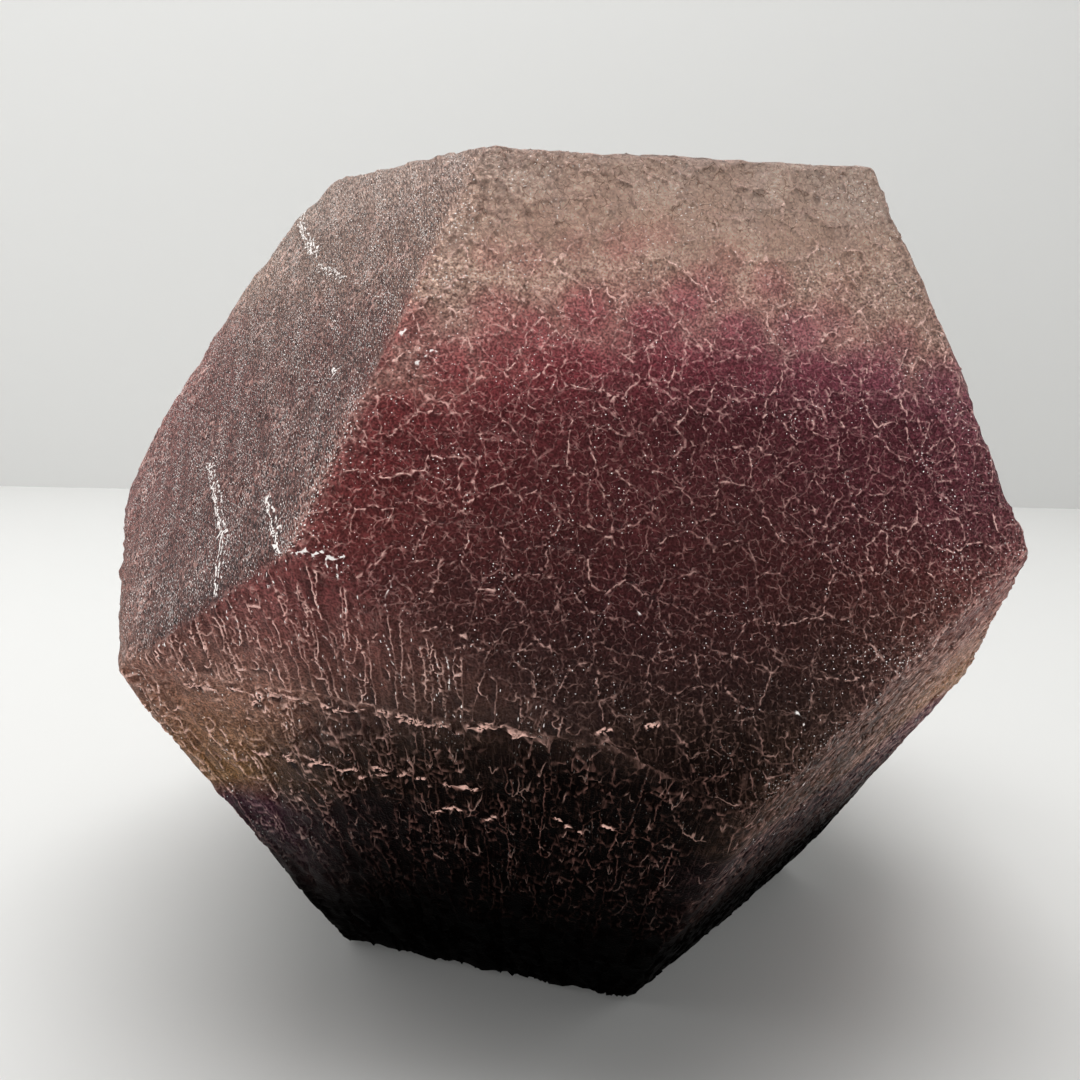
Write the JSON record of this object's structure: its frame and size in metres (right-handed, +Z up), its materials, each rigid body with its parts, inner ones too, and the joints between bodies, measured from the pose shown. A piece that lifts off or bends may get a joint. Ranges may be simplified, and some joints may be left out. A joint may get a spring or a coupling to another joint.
{
  "type": "fluorite dodecahedron",
  "caption": "Fluorite crystal in the form of a dodecahedron, with etched and frosted faces banded in wine red, purple and grey, resting on a face.",
  "frame": {"origin": "on the surface that the crystal rests on, under the middle of its bounding box", "axes": "+Z up; the large main face looks towards -Y and a little towards +X and up; +X is to the right of someone who looks at it from the front"},
  "size_m": [0.068, 0.064, 0.0569],
  "materials": {
    "fluorite": "etched and frosted, translucent"
  },
  "bodies": {
    "root": {"fluorite_crystal": "fluorite"}
  },
  "joints": []
}
